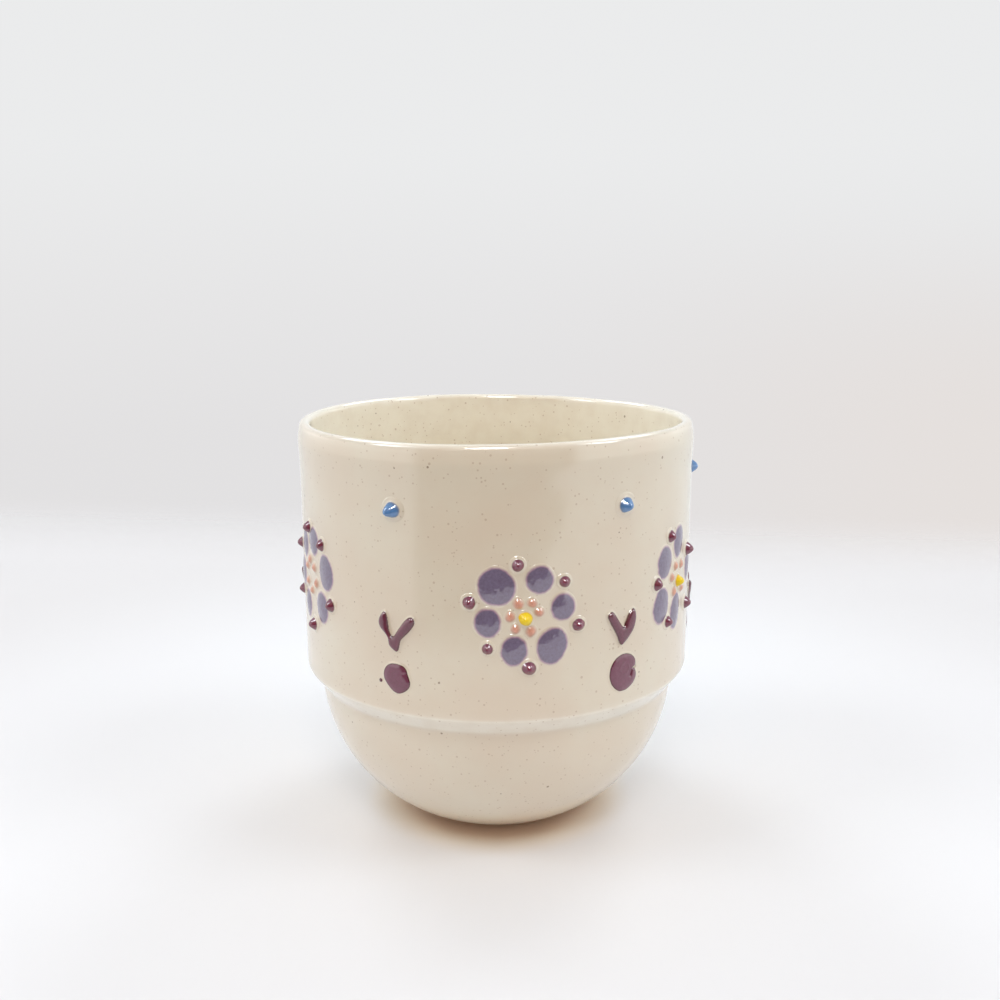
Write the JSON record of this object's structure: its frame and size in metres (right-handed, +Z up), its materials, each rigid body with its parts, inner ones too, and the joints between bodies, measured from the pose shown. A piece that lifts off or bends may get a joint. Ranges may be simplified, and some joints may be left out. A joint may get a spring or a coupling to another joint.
{
  "type": "mug",
  "caption": "Handleless speckled stoneware mug with a straight wall, a stepped bowl base and raised slip-dot flowers.",
  "frame": {"origin": "centre of the flat foot, on the table", "axes": "+Z up the mug's axis; -Y faces the side that the picture shows; +X to the right of someone who looks at that side"},
  "size_m": [0.0886, 0.0876, 0.088],
  "materials": {
    "mug_body": "glossy speckled cream glaze",
    "petals": "glossy lavender slip under clear glaze",
    "outer_beads": "glossy maroon slip",
    "florets": "glossy salmon slip",
    "yellow_centres": "glossy yellow slip",
    "blue_beads": "glossy blue slip",
    "v_marks": "glossy plum slip",
    "maroon_discs": "glossy maroon slip"
  },
  "bodies": {
    "root": {"mug_body": "mug_body", "petals": "petals", "outer_beads": "outer_beads", "florets": "florets", "yellow_centres": "yellow_centres", "blue_beads": "blue_beads", "v_marks": "v_marks", "maroon_discs": "maroon_discs"}
  },
  "joints": []
}
